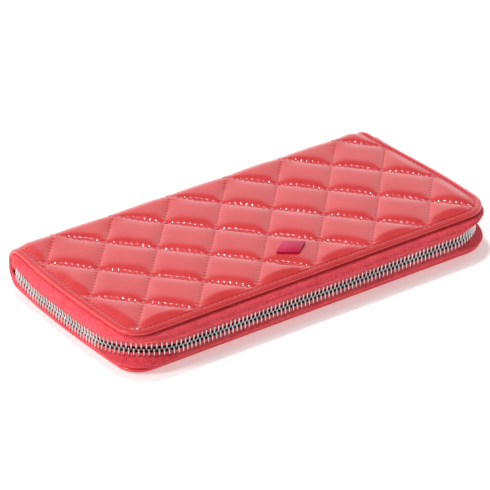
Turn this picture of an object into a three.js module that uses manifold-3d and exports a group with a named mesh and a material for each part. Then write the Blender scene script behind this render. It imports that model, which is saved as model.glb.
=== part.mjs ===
import * as THREE from 'three';
import { mergeVertices } from 'three/addons/utils/BufferGeometryUtils.js';
import Module from 'manifold-3d';

// Long zip-around wallet, closed and lying on its underside. Millimetres.
// +X runs along the long side, +Y from the zip front to the spine, +Z up through the covers.
// The origin is the middle of the flat underside.

// Overall form
const closedHeight = 22;
const edgeHalfLength = 96;
const edgeFrontY = -47.1;
const edgeCornerRadius = 10;
const spineCentreY = 40.3;
const spineRadius = closedHeight / 2;
const spineHalfLength = 95.5;
const foldAngle = Math.PI / 6;

// Sheet thicknesses and clearances
const leather = 1.5;
const board = 1.0;
const lining = 0.4;
const pocketLeather = 0.5;
const tape = 0.6;
const sheetGap = 0.1;
const tightGap = 0.05;
const fitGap = 0.3;

// Main zip: two rows of teeth that follow a rounder corner than the leather edge
const rowDepth = 2.0;
const rowHeight = 2.9;
const rowParting = 1.4;
const rowStandOut = 1.6;
const chainCornerExtra = 15;
const frontStandRatio = 1.25;
const zipRearY = 41;
const tuckLength = 8;
const tuckDepth = 2.5;

// The closed zip hangs lower on the left side, and levels out along the front
const leftDip = 2.4;
const frontDipShare = 0.3;
const dipRearY = 40;
const dipFullY = 22;
const dipLevelX = 70;
const dipCornerY = -48;
const dipMiddleY = -8;

// Main slider and its pull, at the closed end of the zip
const sliderY = 31;
const sliderHalfLength = 6;
const upperRowEndY = sliderY - sliderHalfLength - 3.5;
const stopLength = 2;
const stopWidth = 2.2;

// Stiffening board and lining of each cover
const boardSheet = { halfLength: 91.5, frontY: -41.8, rearY: 38.5, radius: 11 };
const liningSheet = { halfLength: 93, frontY: -43.5, rearY: 39.5, radius: 9 };

// Card pockets, centre coin pocket and gussets
const tierCount = 3;
const tierStep = 10;
const tierMouthY = -34;
const tierRearY = 35;
const tierHalfLength = 88.5;
const leafHalfLength = 88;
const leafFrontY = -24;
const leafRearY = 39;
const leafThickness = 3.4;
const leafWall = 0.7;
const rimWidth = 1.5;
const gussetFrontY = -8;
const gussetRearY = 36;
const gussetSheet = 0.4;
const gussetGap = 0.25;
const gussetPocketX = 89.6;
const gussetLeafX = 87.6;
const gussetFoldX = 73.2;
const gussetInnerFoldX = 76.4;
const spineLiningHalfLength = 90;
const stripHalfLength = 86;
const stripHalfThickness = 0.4;

// Zip of the coin pocket: distances near and far are up and down from the middle
const coinSliderX = 76;
const coinRowY = -26.9;
const coinRowHalfDepth = 0.7;
const coinRow = { halfLength: 82, near: 0.5, far: 1.8 };
const coinTape = { halfLength: 84, near: 1.15, far: 1.55 };
const coinStopLength = 1.5;

// Badge on the top cover
const badgeY = -26.7;
const badgeHalfLength = 8;
const badgeHalfWidth = 6;
const badgeTop = 1;

const middleZ = closedHeight / 2;
const wasm = await Module();
wasm.setup();

const finish = {
  patentLeather: { color: 0xd8524f, roughness: 0.18, metalness: 0 },
  liningLeather: { color: 0xc4484a, roughness: 0.6, metalness: 0 },
  liningCloth: { color: 0xb84a50, roughness: 0.9, metalness: 0 },
  stiffBoard: { color: 0xb9a282, roughness: 0.95, metalness: 0 },
  zipTape: { color: 0xd94a4c, roughness: 0.85, metalness: 0 },
  nickel: { color: 0xc9c9c6, roughness: 0.25, metalness: 1 },
  badgeEnamel: { color: 0xb52a35, roughness: 0.2, metalness: 0 },
};

function piece(name, geometry, finishName) {
  const mesh = new THREE.Mesh(geometry, new THREE.MeshStandardMaterial(finish[finishName]));
  mesh.name = name;
  return mesh;
}

// Boolean work on closed geometries
function toSolid(geometry) {
  const bare = geometry.clone();
  bare.deleteAttribute('normal');
  bare.deleteAttribute('uv');
  const merged = mergeVertices(bare, 1e-4);
  return new wasm.Manifold(new wasm.Mesh({
    numProp: 3,
    vertProperties: new Float32Array(merged.attributes.position.array),
    triVerts: new Uint32Array(merged.index.array),
  }));
}

function toGeometry(solid) {
  const mesh = solid.getMesh();
  const geometry = new THREE.BufferGeometry();
  geometry.setAttribute('position', new THREE.BufferAttribute(new Float32Array(mesh.vertProperties), 3));
  geometry.setIndex(new THREE.BufferAttribute(new Uint32Array(mesh.triVerts), 1));
  return geometry;
}

// Extrusions along each axis. The outline's two values are (x, y), (y, z) and (z, x) in turn.
const axisBases = {
  z: new THREE.Matrix4(),
  x: new THREE.Matrix4().makeBasis(
    new THREE.Vector3(0, 1, 0), new THREE.Vector3(0, 0, 1), new THREE.Vector3(1, 0, 0)),
  y: new THREE.Matrix4().makeBasis(
    new THREE.Vector3(0, 0, 1), new THREE.Vector3(1, 0, 0), new THREE.Vector3(0, 1, 0)),
};

function extrude(axis, outline, from, to, holes = []) {
  const shape = new THREE.Shape(outline.map(([a, b]) => new THREE.Vector2(a, b)));
  for (const hole of holes) {
    shape.holes.push(new THREE.Path(hole.map(([a, b]) => new THREE.Vector2(a, b))));
  }
  const geometry = new THREE.ExtrudeGeometry(shape, { depth: to - from, bevelEnabled: false });
  geometry.translate(0, 0, from);
  geometry.applyMatrix4(axisBases[axis]);
  return geometry;
}

function block(x0, x1, y0, y1, z0, z1) {
  const geometry = new THREE.BoxGeometry(x1 - x0, y1 - y0, z1 - z0);
  geometry.translate((x0 + x1) / 2, (y0 + y1) / 2, (z0 + z1) / 2);
  return geometry;
}

function rectangle(a0, a1, b0, b1) {
  return [[a0, b0], [a1, b0], [a1, b1], [a0, b1]];
}

function arcPoints(centreA, centreB, radius, from, to, steps) {
  return Array.from({ length: steps + 1 }, (_, i) => {
    const angle = from + (to - from) * i / steps;
    return [centreA + radius * Math.cos(angle), centreB + radius * Math.sin(angle)];
  });
}

// A flat sheet with rounded front corners and square rear ones
function sheetOutline({ halfLength, frontY, rearY, radius }) {
  return [
    ...arcPoints(-halfLength + radius, frontY + radius, radius, Math.PI, 1.5 * Math.PI, 8),
    ...arcPoints(halfLength - radius, frontY + radius, radius, 1.5 * Math.PI, 2 * Math.PI, 8),
    [halfLength, rearY],
    [-halfLength, rearY],
  ];
}

// The spine's wall in (y, z), between two angles measured from its lowest line
function spineWall(from, to, outer, inner, steps) {
  const turn = -Math.PI / 2;
  return [
    ...arcPoints(spineCentreY, middleZ, outer, from + turn, to + turn, steps),
    ...arcPoints(spineCentreY, middleZ, inner, to + turn, from + turn, steps),
  ];
}

// Even steps from one value towards another, without the two themselves
function between(from, to) {
  const steps = 6;
  return Array.from({ length: steps - 1 }, (_, i) => from + (to - from) * (i + 1) / steps);
}

// Edge route: up one short side, round the front and down the other, at one height.
// out is how far it stands outside the leather edge; follow 0 turns with the leather's
// corner and 1 with the zip's wider one.
function edgeRoute({ out, follow }, rear) {
  const halfLength = edgeHalfLength + out;
  const frontY = edgeFrontY - out * frontStandRatio;
  const radius = edgeCornerRadius + follow * chainCornerExtra + out;
  const cornerX = halfLength - radius;
  const cornerY = frontY + radius;
  const side = (sign, end) => [
    ...[0, 0.25, 0.5, 0.75, 1].map((t) => [
      sign * (halfLength - end.tuck * (1 - t) ** 2),
      end.y - tuckLength * t,
    ]),
    ...between(end.y - tuckLength, cornerY).map((y) => [sign * halfLength, y]),
  ];
  return [
    ...side(-1, rear.left),
    ...arcPoints(-cornerX, cornerY, radius, Math.PI, 1.5 * Math.PI, 10),
    ...between(-cornerX, cornerX).map((x) => [x, frontY]),
    ...arcPoints(cornerX, cornerY, radius, 1.5 * Math.PI, 2 * Math.PI, 10),
    ...side(1, rear.right).reverse(),
  ];
}

// How far the zip hangs below the middle at a place along its route
function zipDip(x, y) {
  const ease = THREE.MathUtils.smoothstep;
  const sideX = edgeHalfLength + rowStandOut;
  const alongFront = frontDipShare * (1 - ease(x, 0, dipLevelX));
  const onTheLeft = (1 - frontDipShare) * (1 - ease(x, -sideX, -dipLevelX));
  const alongLeft = onTheLeft * ease(y, dipCornerY, dipMiddleY);
  return leftDip * (alongFront + alongLeft) * (1 - ease(y, dipFullY, dipRearY));
}

// A strip of constant section along the edge route. dip(x, y) lowers what follows the zip.
function edgeStrip(section, { rear, dip }) {
  const routes = section.map((corner) => edgeRoute(corner, rear));
  const height = ({ z, follow }, [x, y]) => z - dip(x, y) * follow;
  const stations = routes[0].length;
  const count = section.length;
  const positions = [];
  for (let s = 0; s < stations; s += 1) {
    for (let k = 0; k < count; k += 1) {
      const [x, y] = routes[k][s];
      positions.push(x, y, height(section[k], [x, y]));
    }
  }
  const faces = [];
  for (let s = 0; s + 1 < stations; s += 1) {
    for (let k = 0; k < count; k += 1) {
      const a = s * count + k;
      const b = s * count + (k + 1) % count;
      faces.push([a, b, b + count], [a, b + count, a + count]);
    }
  }
  const contour = section.map(({ out, z }) => new THREE.Vector2(out, z));
  const last = (stations - 1) * count;
  for (const [a, b, c] of THREE.ShapeUtils.triangulateShape(contour, [])) {
    faces.push([c, b, a], [last + a, last + b, last + c]);
  }
  const outward = THREE.ShapeUtils.isClockWise(contour) ? faces : faces.map(([a, b, c]) => [a, c, b]);
  const geometry = new THREE.BufferGeometry();
  geometry.setAttribute('position', new THREE.Float32BufferAttribute(positions, 3));
  geometry.setIndex(outward.flat());
  return geometry;
}

// Heights of the sheets in the lower half, from the underside up
const boardZ = leather + sheetGap;
const liningZ = boardZ + board + sheetGap;
const tierZ = liningZ + lining + tightGap;
const tierPitchZ = pocketLeather + tightGap;
const tierTopZ = tierZ + tierCount * tierPitchZ - tightGap;
const rowTopZ = middleZ - rowParting / 2;
const rowBottomZ = rowTopZ - rowHeight;
const leafBottomZ = middleZ - leafThickness / 2;

function coverLeather() {
  const gapAngle = fitGap / 2 / spineRadius;
  const wall = spineWall(0, foldAngle - gapAngle, spineRadius, spineRadius - leather, 6);
  const past = 5;
  const profile = [[edgeFrontY - past, 0], ...wall, [edgeFrontY - past, leather]];
  const bar = extrude('x', profile, -edgeHalfLength - past, edgeHalfLength + past);
  const outline = sheetOutline({
    halfLength: edgeHalfLength,
    frontY: edgeFrontY,
    rearY: spineCentreY + spineRadius,
    radius: edgeCornerRadius,
  });
  return toGeometry(toSolid(bar).intersect(toSolid(extrude('z', outline, -past, closedHeight))));
}

// The tape leaves the seam under the leather edge, bulges out and stands up to the teeth
function zipTape(run) {
  const seamZ = boardZ + tape / 2;
  const seamReach = 1.0;
  const centre = [
    { out: -seamReach, follow: 0, z: seamZ },
    { out: -0.2, follow: 0, z: seamZ },
    { out: 1.0, follow: 0.15, z: seamZ + 0.8 },
    { out: 1.9, follow: 0.45, z: seamZ + 2.3 },
    { out: 1.9, follow: 0.75, z: seamZ + 3.7 },
    { out: rowStandOut, follow: 0.95, z: seamZ + 4.6 },
    { out: rowStandOut, follow: 1, z: rowBottomZ - fitGap },
  ];
  const offset = (side) => centre.map(({ out, follow, z }, i) => {
    const before = centre[Math.max(i - 1, 0)];
    const after = centre[Math.min(i + 1, centre.length - 1)];
    const along = new THREE.Vector2(after.out - before.out, after.z - before.z).normalize();
    return { out: out + along.y * side * tape / 2, follow, z: z - along.x * side * tape / 2 };
  });
  return edgeStrip([...offset(1), ...offset(-1).reverse()], run);
}

function toothRow(run) {
  const inside = rowStandOut - rowDepth / 2;
  const outside = rowStandOut + rowDepth / 2;
  return edgeStrip([
    { out: inside, follow: 1, z: rowBottomZ },
    { out: outside, follow: 1, z: rowBottomZ },
    { out: outside, follow: 1, z: rowTopZ },
    { out: inside, follow: 1, z: rowTopZ },
  ], run);
}

// Side gusset: a sheet folded once inwards, between the card pockets and the coin pocket
function gusset(sign) {
  const foldZ = (tierTopZ + leafBottomZ) / 2;
  const outline = [
    [tierTopZ + gussetGap, sign * gussetPocketX],
    [foldZ, sign * gussetFoldX],
    [leafBottomZ - gussetGap, sign * gussetLeafX],
    [leafBottomZ - gussetGap - gussetSheet, sign * gussetLeafX],
    [foldZ, sign * gussetInnerFoldX],
    [tierTopZ + gussetGap + gussetSheet, sign * gussetPocketX],
  ];
  return extrude('y', outline, gussetFrontY, gussetRearY);
}

// Both halves are the same below the middle, so the upper one is the lower one turned over.
// names gives the half's own names; left and right are sides of this half before it is turned.
function coverHalf(names, rear, dip) {
  const half = new THREE.Group();
  const plate = (outline, z, thickness) => extrude('z', outline, z, z + thickness);
  half.add(piece(`${names.cover}_cover_leather`, coverLeather(), 'patentLeather'));
  half.add(piece(`${names.cover}_cover_board`,
    plate(sheetOutline(boardSheet), boardZ, board), 'stiffBoard'));
  half.add(piece(`${names.cover}_cover_lining`,
    plate(sheetOutline(liningSheet), liningZ, lining), 'liningLeather'));
  for (let tier = 0; tier < tierCount; tier += 1) {
    const mouth = tierMouthY + tier * tierStep;
    const outline = rectangle(-tierHalfLength, tierHalfLength, mouth, tierRearY);
    const z = tierZ + tier * tierPitchZ;
    half.add(piece(`${names.half}_card_pocket_${tier + 1}`,
      plate(outline, z, pocketLeather), 'liningLeather'));
  }
  half.add(piece(`${names.half}_zip_tape`, zipTape({ rear: rear.tape, dip }), 'zipTape'));
  half.add(piece(`${names.half}_tooth_row`, toothRow({ rear: rear.row, dip }), 'nickel'));
  half.add(piece(`${names.left}_${names.half}_gusset`, gusset(-1), 'liningCloth'));
  half.add(piece(`${names.right}_${names.half}_gusset`, gusset(1), 'liningCloth'));
  return half;
}

const tuckedEnd = { y: zipRearY, tuck: tuckDepth };
const sliderEnd = { y: zipRearY - stopLength, tuck: 0 };
const stopX = edgeHalfLength + rowStandOut;
const stopFrontY = sliderY + sliderHalfLength + 0.4;

function lowerHalf() {
  const names = { cover: 'bottom', half: 'lower', left: 'left', right: 'right' };
  return coverHalf(names, {
    tape: { left: tuckedEnd, right: sliderEnd },
    row: { left: tuckedEnd, right: { y: stopFrontY - fitGap, tuck: 0 } },
  }, zipDip);
}

function upperHalf() {
  const names = { cover: 'top', half: 'upper', left: 'right', right: 'left' };
  const half = coverHalf(names, {
    tape: { left: sliderEnd, right: tuckedEnd },
    row: { left: { y: upperRowEndY, tuck: 0 }, right: tuckedEnd },
  }, (x, y) => -zipDip(-x, y));
  half.position.z = closedHeight;
  half.rotation.y = Math.PI;
  return half;
}

// Small metal ends of the main zip. The start stop is fixed to the lower row and reaches just past
// the parting, so that the upper row can swing up beside it.
function zipStops() {
  const stops = new THREE.Group();
  const rowInside = edgeHalfLength + rowStandOut - rowDepth / 2;
  const pastParting = 0.4;
  const startX = -rowInside + 0.4;
  const startY = zipRearY + fitGap;
  stops.add(piece('zip_start_stop', block(
    startX, startX + stopWidth, startY, startY + stopLength, rowBottomZ, middleZ + pastParting), 'nickel'));
  const upperBottomZ = closedHeight - rowTopZ;
  for (const [name, z] of [['lower_zip_end_stop', rowBottomZ], ['upper_zip_end_stop', upperBottomZ]]) {
    stops.add(piece(name, block(
      stopX - 1, stopX + 1, stopFrontY, stopFrontY + stopLength, z, z + rowHeight), 'nickel'));
  }
  return stops;
}

function spine() {
  const group = new THREE.Group();
  const gapAngle = fitGap / 2 / spineRadius;
  const shell = spineWall(
    foldAngle + gapAngle, Math.PI - foldAngle - gapAngle, spineRadius, spineRadius - leather, 16);
  group.add(piece('spine_leather', extrude('x', shell, -spineHalfLength, spineHalfLength), 'patentLeather'));
  const liningOuter = spineRadius - leather - 0.15;
  const clearAngle = 0.08;
  const inner = spineWall(foldAngle + clearAngle, Math.PI - foldAngle - clearAngle,
    liningOuter, liningOuter - lining, 12);
  group.add(piece('spine_lining',
    extrude('x', inner, -spineLiningHalfLength, spineLiningHalfLength), 'liningLeather'));
  const stripRearY = spineCentreY + liningOuter - lining - 0.5;
  group.add(piece('leaf_spine_strip', block(
    -stripHalfLength, stripHalfLength, leafRearY + fitGap, stripRearY,
    middleZ - stripHalfThickness, middleZ + stripHalfThickness), 'liningCloth'));
  return group;
}

// Zipped coin pocket: a tray of leather with a flat upper wall, open at the front
function coinPocket() {
  const group = new THREE.Group();
  const topZ = leafBottomZ + leafThickness;
  const upperWallZ = topZ - leafWall;
  const tray = toSolid(block(
    -leafHalfLength, leafHalfLength, leafFrontY, leafRearY, leafBottomZ, upperWallZ - sheetGap));
  const inside = toSolid(block(
    -leafHalfLength + rimWidth, leafHalfLength - rimWidth, leafFrontY - 1, leafRearY - rimWidth,
    leafBottomZ + leafWall, topZ));
  group.add(piece('coin_pocket_lower_wall', toGeometry(tray.subtract(inside)), 'liningLeather'));
  group.add(piece('coin_pocket_upper_wall', block(
    -leafHalfLength, leafHalfLength, leafFrontY, leafRearY, upperWallZ, topZ), 'liningLeather'));
  const halves = [
    ['lower', (distance) => middleZ - distance],
    ['upper', (distance) => middleZ + distance],
  ];
  for (const [half, height] of halves) {
    const span = ({ near, far }) => [height(near), height(far)].sort((a, b) => a - b);
    group.add(piece(`coin_${half}_tape`, block(
      -coinTape.halfLength, coinTape.halfLength, coinRowY + coinRowHalfDepth + fitGap, leafFrontY - fitGap,
      ...span(coinTape)), 'zipTape'));
    group.add(piece(`coin_${half}_tooth_row`, block(
      -coinRow.halfLength, coinRow.halfLength, coinRowY - coinRowHalfDepth, coinRowY + coinRowHalfDepth,
      ...span(coinRow)), 'nickel'));
  }
  for (const [side, sign] of [['left', -1], ['right', 1]]) {
    const near = coinRow.halfLength + fitGap;
    const ends = [sign * near, sign * (near + coinStopLength)].sort((a, b) => a - b);
    group.add(piece(`coin_${side}_stop`, block(
      ...ends, coinRowY - coinRowHalfDepth, coinRowY + coinRowHalfDepth,
      middleZ - coinRow.far, middleZ + coinRow.far), 'nickel'));
  }
  return group;
}

// Sliders are drawn on the spot: travel along local x, outwards along local -y, teeth at the origin.
// The bail is an arch on the outer blade that holds the pull's end bar.
function bail({ bladeY, halfSpan, rise, wall, halfWidth }) {
  const topY = bladeY - rise - wall;
  const outline = [
    [-halfSpan - wall, bladeY - sheetGap],
    [-halfSpan - wall, topY + wall],
    [-halfSpan, topY],
    [halfSpan, topY],
    [halfSpan + wall, topY + wall],
    [halfSpan + wall, bladeY - sheetGap],
    [halfSpan, bladeY - sheetGap],
    [halfSpan, topY + wall],
    [-halfSpan, topY + wall],
    [-halfSpan, bladeY - sheetGap],
  ];
  return extrude('z', outline.reverse(), -halfWidth, halfWidth);
}

// A flat frame that hangs on the bail by its end bar and points along local -x
function pullFrame({ length, bar, holeLength, halfWidth, holeHalfWidth, thickness }) {
  const outline = rectangle(-halfWidth, halfWidth, -length, bar / 2);
  const hole = rectangle(-holeHalfWidth, holeHalfWidth, -bar / 2 - holeLength, -bar / 2);
  return extrude('y', outline, -thickness / 2, thickness / 2, [hole]);
}

function mainSlider() {
  const group = new THREE.Group();
  group.position.set(stopX, sliderY, middleZ);
  group.rotation.z = Math.PI / 2;
  const rowGap = 0.35;
  const tapeGap = 0.4;
  const sideWall = 1.25;
  const rimWall = 0.85;
  const channelY = rowDepth / 2 + rowGap;
  const channelZ = rowParting / 2 + rowHeight + rowGap;
  const webZ = rowParting / 2 - rowGap;
  const slotY = tape / 2 + tapeGap;
  const bladeY = channelY + sideWall;
  const rimZ = channelZ + rimWall;
  const quarter = [
    [-channelY, webZ],
    [-channelY, channelZ],
    [-slotY, channelZ],
    [-slotY, rimZ],
    [-bladeY, rimZ],
  ];
  const section = [
    ...quarter,
    ...quarter.map(([y, z]) => [y, -z]).reverse(),
    ...quarter.map(([y, z]) => [-y, -z]),
    ...quarter.map(([y, z]) => [-y, z]).reverse(),
  ];
  group.add(piece('zip_slider_body', extrude(
    'x', section.reverse(), -sliderHalfLength, sliderHalfLength), 'nickel'));
  group.add(piece('zip_slider_bail', bail({
    bladeY: -bladeY, halfSpan: 2.9, rise: 2.0, wall: 0.7, halfWidth: 1.6,
  }), 'nickel'));
  const pull = new THREE.Group();
  pull.position.y = -bladeY - 1.1;
  pull.add(piece('zip_pull_link', pullFrame({
    length: 10, bar: 1, holeLength: 8.5, halfWidth: 2.9, holeHalfWidth: 2, thickness: 0.9,
  }), 'nickel'));
  const loopX = { tongueEnd: -12, holeStart: -10.3, holeEnd: -8.7, tip: -7.9 };
  const loopHalf = { thickness: 1.25, hole: 0.75, width: 1.7 };
  const loop = extrude(
    'z', rectangle(loopX.tongueEnd, loopX.tip, -loopHalf.thickness, loopHalf.thickness),
    -loopHalf.width, loopHalf.width,
    [rectangle(loopX.holeStart, loopX.holeEnd, -loopHalf.hole, loopHalf.hole)]);
  const tongueHalfWidth = 4;
  const roundEndX = -33;
  const shoulderX = -12.5;
  const neckX = -11;
  const tongueHalfThickness = 0.8;
  const tongue = extrude('y', [
    ...arcPoints(0, roundEndX, tongueHalfWidth, Math.PI, 2 * Math.PI, 12),
    [tongueHalfWidth, shoulderX],
    [loopHalf.width, neckX],
    [-loopHalf.width, neckX],
    [-tongueHalfWidth, shoulderX],
  ], -tongueHalfThickness, tongueHalfThickness);
  pull.add(piece('zip_pull_tab', toGeometry(toSolid(loop).add(toSolid(tongue))), 'patentLeather'));
  group.add(pull);
  return group;
}

function coinSlider() {
  const group = new THREE.Group();
  group.position.set(coinSliderX, coinRowY, middleZ);
  const halfLength = 4;
  const plate = { nearY: -2.1, farY: 0.9, innerY: -1.05, underZ: 2.1, overZ: 2.5 };
  const web = { halfThickness: 0.2, endY: 1.0 };
  const post = { farY: 1.7, halfHeight: 0.7 };
  const half = [
    [plate.nearY, plate.overZ],
    [plate.farY, plate.overZ],
    [plate.farY, plate.underZ],
    [plate.innerY, plate.underZ],
    [plate.innerY, web.halfThickness],
    [web.endY, web.halfThickness],
    [web.endY, post.halfHeight],
    [post.farY, post.halfHeight],
  ];
  const section = [...half, ...half.map(([y, z]) => [y, -z]).reverse()];
  group.add(piece('coin_slider_body', extrude('x', section.reverse(), -halfLength, halfLength), 'nickel'));
  group.add(piece('coin_slider_bail', bail({
    bladeY: plate.nearY, halfSpan: 2.2, rise: 1.7, wall: 0.5, halfWidth: 0.8,
  }), 'nickel'));
  const pull = piece('coin_pull', pullFrame({
    length: 13, bar: 0.8, holeLength: 4.6, halfWidth: 2, holeHalfWidth: 1.2, thickness: 0.8,
  }), 'nickel');
  pull.position.y = -3.05;
  group.add(pull);
  return group;
}

function badge() {
  const lozenge = [[-badgeHalfLength, 0], [0, -badgeHalfWidth], [badgeHalfLength, 0], [0, badgeHalfWidth]];
  const geometry = extrude('z', lozenge, closedHeight + sheetGap, closedHeight + badgeTop);
  geometry.translate(0, badgeY, 0);
  return piece('cover_badge', geometry, 'badgeEnamel');
}

const wallet = new THREE.Group();
wallet.add(lowerHalf(), upperHalf(), zipStops(), spine(), coinPocket(), mainSlider(), coinSlider(), badge());

export default wallet;
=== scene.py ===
import math

import bmesh
import bpy
import numpy as np
from mathutils import Matrix, Vector


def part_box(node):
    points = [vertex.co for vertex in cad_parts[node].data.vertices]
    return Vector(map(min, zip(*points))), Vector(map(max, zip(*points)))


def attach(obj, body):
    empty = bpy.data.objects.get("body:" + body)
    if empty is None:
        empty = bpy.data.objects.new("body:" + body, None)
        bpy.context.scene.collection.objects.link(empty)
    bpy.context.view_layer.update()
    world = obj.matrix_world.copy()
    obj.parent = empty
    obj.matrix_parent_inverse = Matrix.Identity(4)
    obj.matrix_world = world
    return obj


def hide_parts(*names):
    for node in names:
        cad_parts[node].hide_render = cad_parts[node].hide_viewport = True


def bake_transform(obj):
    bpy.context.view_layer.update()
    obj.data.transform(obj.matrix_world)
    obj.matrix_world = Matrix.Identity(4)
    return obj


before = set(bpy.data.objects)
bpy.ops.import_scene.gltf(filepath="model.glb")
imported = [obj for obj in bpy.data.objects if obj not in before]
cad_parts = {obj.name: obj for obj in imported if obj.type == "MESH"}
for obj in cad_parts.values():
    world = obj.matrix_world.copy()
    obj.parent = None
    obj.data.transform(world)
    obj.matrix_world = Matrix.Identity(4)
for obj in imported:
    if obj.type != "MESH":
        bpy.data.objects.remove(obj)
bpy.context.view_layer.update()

# Lengths in this script are millimetres until they are multiplied by MM.
MM = 0.001


def node_box(node):
    """Lowest and highest corner of a CAD node, in millimetres."""
    low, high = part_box(node)
    return np.array(low) / MM, np.array(high) / MM


# Shape taken from the frame
cover_low, cover_high = node_box("top_cover_leather")
spine_high = node_box("spine_leather")[1]
CLOSED = cover_high[2]
MIDDLE_Z = CLOSED / 2
SPINE_RADIUS = CLOSED / 2
SPINE_Y = spine_high[1] - SPINE_RADIUS
EDGE_HALF = cover_high[0]
EDGE_FRONT = cover_low[1]
EDGE_CORNER = 10.0
LEFT_CORNER = 10.0
RIGHT_CORNER = 13.5
LEFT_BOW = 2.0
RIGHT_BOW = 0.9
RIGHT_TAPER = 2.2
FOLD_ANGLE = math.radians(30)
FOLD_REACH = 7.0

# Quilting, unrolled flat: x along the wallet, s from the front edge over the cover and round the spine
PITCH_X = 30.5
PITCH_S = 34.67
LATTICE_X = 3 * PITCH_X
LATTICE_S = -44.0
CROWN = 1.2
LEATHER_BACK = -0.38
NEUTRAL_RADIUS = 10.2
SPINE_MIDDLE_S = SPINE_Y + NEUTRAL_RADIUS * math.pi / 2
CELL_GAP = 1 / math.hypot(1 / PITCH_X, 1 / PITCH_S)
CELL_EDGE = math.hypot(PITCH_X, PITCH_S) / 2
STITCHES_PER_EDGE = 9
SEAM_DIP = 0.05
STITCH_DIP = 0.34
SPINE_PUFF = 0.66
EDGE_STITCH_PITCH = 2.6
BACK_INSET = 4.4
EDGE_SEAM = 2.8
EDGE_ROUND = 0.6
# The turned edge, from the top surface round and under: (further out, lower)
EDGE_ROLL = [(0.25, 0.05), (0.48, 0.2), (0.66, 0.48), (0.74, 0.85), (0.7, 1.25), (0.54, 1.6), (0.25, 1.82),
             (-0.3, 1.9), (-1.2, 1.88), (-2.0, 1.72), (-2.5, 1.4), (-3.6, 1.25), (-4.2, 1.2), (-4.35, 0.5)]
GRID = 0.38

# Zip
CHAIN_OUT = 1.6
CHAIN_CORNER_EXTRA = 15.0
FRONT_STAND = 1.25
TOOTH_PITCH = 2.1
TUCK_LENGTH = 8.0
TUCK_DEPTH = 4.5
LEFT_DIP = 2.4
FRONT_DIP_SHARE = 0.3
DIP_REAR_Y = 40.0
DIP_FULL_Y = 22.0
DIP_LEVEL_X = 70.0
DIP_CORNER_Y = -48.0
DIP_MIDDLE_Y = -8.0
ZIP_BOW = 1.2
TAPE_IN_SPINE = 8.9
LEFT_REAR = node_box("lower_tooth_row")[1][1] + 4

# Inside
LINING_CORNER = 9.0
STITCH_PITCH = 2.6
MOUTH_SEAM = 2.4
THUMB_DIP = 1.6
POCKET_SEAM = 1.8
COIN_TOOTH_PITCH = 1.4
COIN_TOOTH_SCALE = 0.52


# ---- mesh helpers

def linked(name, data):
    obj = bpy.data.objects.new(name, data)
    bpy.context.scene.collection.objects.link(obj)
    return obj


def new_object(name, vertices, faces, material, uv=None):
    """An object from vertices in millimetres; uv gives each vertex its place in the flat sheet."""
    mesh = bpy.data.meshes.new(name)
    mesh.from_pydata((np.asarray(vertices, float) * MM).tolist(), [], [list(f) for f in faces])
    mesh.update()
    mesh.polygons.foreach_set("use_smooth", [True] * len(mesh.polygons))
    if uv is not None:
        layer = mesh.uv_layers.new(name="flat")
        corner_vertex = np.empty(len(mesh.loops), np.int32)
        mesh.loops.foreach_get("vertex_index", corner_vertex)
        layer.data.foreach_set("uv", (np.asarray(uv, float)[corner_vertex] / 100).ravel())
    mesh.materials.append(material)
    return linked(name, mesh)


def grid_faces(rows, columns, start=0, wrap=False):
    """Quads over a rows x columns block of vertices; wrap joins the last column to the first."""
    r = np.arange(rows - 1)[:, None]
    c = np.arange(columns if wrap else columns - 1)[None, :]
    n = (c + 1) % columns
    a = start + r * columns + c
    b = start + r * columns + n
    quads = np.stack([a, b, b + columns, a + columns], -1)
    return quads.reshape(-1, 4)


def loft(rings):
    """Vertices and faces of a closed tube through rings of equal size, with flat ends."""
    rings = np.asarray(rings, float)
    count, size = rings.shape[:2]
    faces = grid_faces(count, size, wrap=True).tolist()
    faces.append(list(range(size))[::-1])
    faces.append(list(range((count - 1) * size, count * size)))
    return rings.reshape(-1, 3), faces


def joined(parts):
    """Several (vertices, faces) blocks as one."""
    vertices, faces, start = [], [], 0
    for part_vertices, part_faces in parts:
        vertices.append(part_vertices)
        faces.extend([[i + start for i in face] for face in part_faces])
        start += len(part_vertices)
    return np.concatenate(vertices), faces


def face_outwards(obj):
    bm = bmesh.new()
    bm.from_mesh(obj.data)
    bmesh.ops.recalc_face_normals(bm, faces=bm.faces)
    bm.to_mesh(obj.data)
    bm.free()
    return obj


def place(obj, body, slot, *nodes):
    """Rides the piece on its body and hides the CAD nodes that it stands for."""
    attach(obj, body)
    if nodes:
        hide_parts(*nodes)
    return obj


def smoothstep(low, high, value):
    t = np.clip((value - low) / (high - low), 0, 1)
    return t * t * (3 - 2 * t)


def run_along(path):
    """Distance travelled at each point of a route."""
    return np.concatenate([[0], np.cumsum(np.linalg.norm(np.diff(path, axis=0), axis=1))])


def along_route(at, run, values):
    """Values, one row for each point of a route, at a distance along it."""
    return np.stack([np.interp(at, run, column) for column in values.T], -1)


def flat_grid(x, y):
    """The places of a grid of columns x and rows y."""
    return np.stack(np.broadcast_arrays(x[None, :], y[:, None]), -1)


def raised(flat, z):
    """A flat grid lifted to heights z."""
    return np.concatenate([flat, np.broadcast_to(z, flat.shape[:-1])[..., None]], -1)


# ---- materials

def color_ramp(tree, source, stops):
    """Colours or greys along source."""
    node = tree.nodes.new("ShaderNodeValToRGB")
    elements = node.color_ramp.elements
    while len(elements) < len(stops):
        elements.new(0.5)
    for element, (position, value) in zip(elements, stops):
        element.position = position
        element.color = (*value, 1) if isinstance(value, tuple) else (value, value, value, 1)
    tree.links.new(source, node.inputs["Fac"])
    return node.outputs["Color"]


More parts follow.
